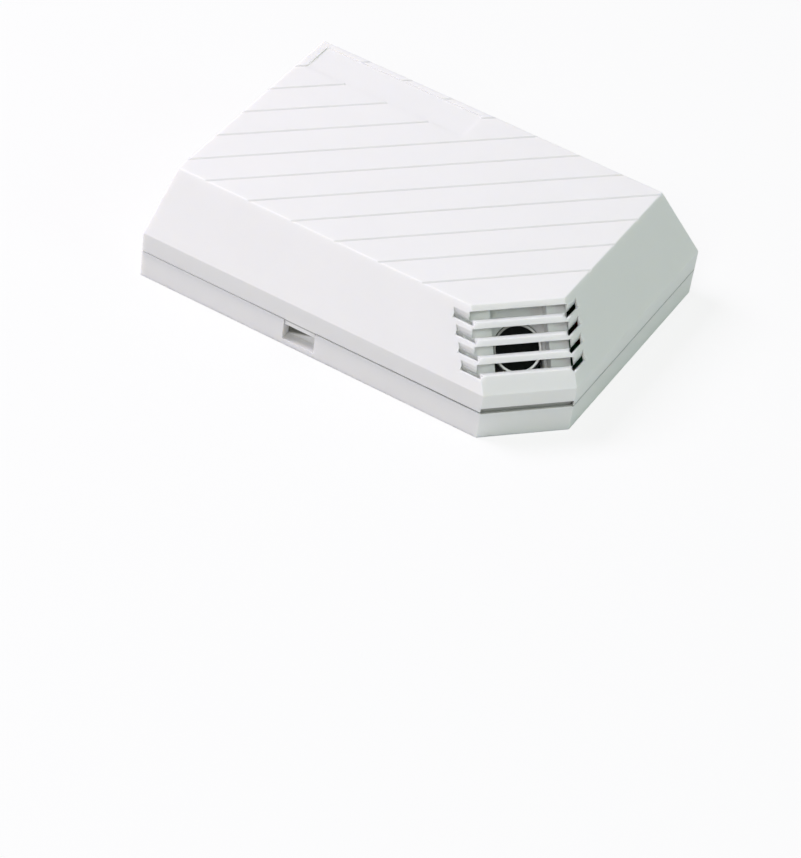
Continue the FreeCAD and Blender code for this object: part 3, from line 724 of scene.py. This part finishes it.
def blocks(name):
    # the loose parts of a node: middle and half size of each
    mesh = nodes[name].data
    parent = {}

    def root(key):
        while parent[key] != key:
            key = parent[key]
        return key

    spots = [tuple(round(c, 6) for c in v.co) for v in mesh.vertices]
    for spot in spots:
        parent[spot] = spot
    for face in mesh.polygons:
        first = root(spots[face.vertices[0]])
        for index in face.vertices[1:]:
            parent[root(spots[index])] = first
    groups = {}
    for spot in parent:
        groups.setdefault(root(spot), []).append(Vector(spot))
    found = []
    for members in groups.values():
        low = Vector([min(m[i] for m in members) for i in range(3)])
        high = Vector([max(m[i] for m in members) for i in range(3)])
        found.append(((low + high) / 2, (high - low) / 2))
    return found


def columns(name):
    # blocks along x, those in line with each other taken as one
    return sorted({(round(middle.x, 5), round(half.x, 5)) for middle, half in blocks(name)})


resistorLook = {
    "node": "resistors",
    "colour": (0.020, 0.020, 0.022),
    "deeper": (0.035, 0.035, 0.038),
    "grain": 0.00012,
    "roughness": 0.29,
}
ceramicLook = {
    "node": "ceramic_capacitors",
    "colour": (0.42, 0.31, 0.20),
    "deeper": (0.34, 0.25, 0.16),
    "grain": 0.00018,
    "roughness": 0.44,
}
capWear = {
    "capInner": 0.72,  # where the tinned caps begin and end, as shares of half the length
    "capOuter": 1.1,
    "capHeight": 0.8,
    "grainRoughness": 0.14,
    "grainDepth": 0.00001,
    "shine": 0.45,
}


def endCapped(name, look, wear):
    # chip parts with tinned ends: both ends of each block along x are metal
    finish = Finish(name, Specular_IOR_Level=wear["shine"])
    grain = finish.grain(look["grain"], detail=3.0, roughness=0.6)
    x = finish.axes(finish.place())[0]
    ends = None
    for middle, half in columns(look["node"]):
        away = abs(x - middle)
        end = away.between(half * wear["capInner"], half * wear["capOuter"])
        ends = end if ends is None else ends.larger(end)
    body = finish.blend(grain, look["colour"], look["deeper"])
    finish.paint(
        colour=finish.blend(ends, body, tinLook["colour"]),
        roughness=grain * wear["grainRoughness"] + look["roughness"],
        metallic=ends,
    )
    finish.bump(grain + ends * wear["capHeight"], wear["grainDepth"])
    return finish.material


dress(castPlastic("terminalPlastic", terminalLook, castWear), "terminal_block")
dress(castPlastic("relayPlastic", relayLook, castWear), "relay_case")
dress(castPlastic("headerPlastic", headerLook, castWear), "jumper_header")
dress(castPlastic("shuntPlastic", shuntLook, castWear), "jumper_shunts")
dress(castPlastic("varistorCoat", varistorLook, castWear), "surge_suppressor")
dress(chipPlastic("chipPlastic", chipLook), "processor_chip", "amplifier_chip", "diodes", "transistors")
dress(endCapped("resistorCoat", resistorLook, capWear), "resistors")
dress(endCapped("ceramicCoat", ceramicLook, capWear), "ceramic_capacitors")
print("plastics and coatings")


# Electrolytic capacitors

sleeveLook = {
    "colour": (0.016, 0.028, 0.075),
    "stripe": (0.55, 0.57, 0.60),
    "stripeHalfAngle": 0.42,
    "lid": (0.78, 0.78, 0.77),
    "lidRim": 0.00045,  # the sleeve laps this far over the lid
    "lidThickness": 0.0001,
    "lidRoughness": 0.08,
    "lidSink": 0.6,
    "ventLine": 0.00022,
    "ventReach": 0.7,  # share of the radius
    "reach": 1.05,  # share of the radius that belongs to one can
    "grain": 0.0005,
    "grainRoughness": 0.10,
    "grainHeight": 0.25,
    "depth": 0.00012,
    "roughness": 0.16,
    "shine": 0.5,
}


def capacitorSleeve(name, look):
    # shrunk sleeve with a pale stripe, bare aluminium lid with a cross pressed in it
    finish = Finish(name, Specular_IOR_Level=look["shine"])
    x, y, z = finish.axes(finish.place())
    stripe, lid, vent = None, None, None
    for middle, half in blocks("electrolytic_capacitors"):
        dx, dy = x - middle.x, y - middle.y
        radius = (dx * dx + dy * dy).root()
        near = radius < half.x * look["reach"]
        band = near * (abs(dy.bearing(dx)) < look["stripeHalfAngle"])
        lidPlane = middle.z + half.z - look["lidThickness"]
        top = (radius < half.x - look["lidRim"]) * (z > lidPlane)
        cross = (abs(dx) < look["ventLine"]).larger(abs(dy) < look["ventLine"])
        cross = cross * top * (radius < half.x * look["ventReach"])
        stripe = band if stripe is None else stripe.larger(band)
        lid = top if lid is None else lid.larger(top)
        vent = cross if vent is None else vent.larger(cross)
    grain = finish.grain(look["grain"], detail=3.0)
    sleeve = finish.blend(stripe, look["colour"], look["stripe"])
    finish.paint(
        colour=finish.blend(lid, sleeve, look["lid"]),
        roughness=grain * look["grainRoughness"] + lid * look["lidRoughness"] + look["roughness"],
        metallic=lid,
    )
    finish.bump(grain * look["grainHeight"] - vent - lid * look["lidSink"], look["depth"])
    return finish.material


dress(capacitorSleeve("capacitorSleeve", sleeveLook), "electrolytic_capacitors")
print("electrolytic capacitors")


# Status lamp

lensLook = {
    "colour": (0.26, 0.016, 0.012),
    "deeper": (0.20, 0.010, 0.008),
    "clearness": 0.55,
    "bending": 1.52,
    "swirl": 0.0014,
    "swirlRoughness": 0.08,
    "swirlDepth": 0.00001,
    "roughness": 0.06,
}


def ledLens(name, look):
    finish = Finish(name, Transmission_Weight=look["clearness"], IOR=look["bending"])
    swirl = finish.grain(look["swirl"])
    finish.paint(
        colour=finish.blend(swirl, look["colour"], look["deeper"]),
        roughness=swirl * look["swirlRoughness"] + look["roughness"],
    )
    finish.bump(swirl, look["swirlDepth"])
    return finish.material


dress(ledLens("ledLens", lensLook), "status_led")
print("status lamp")
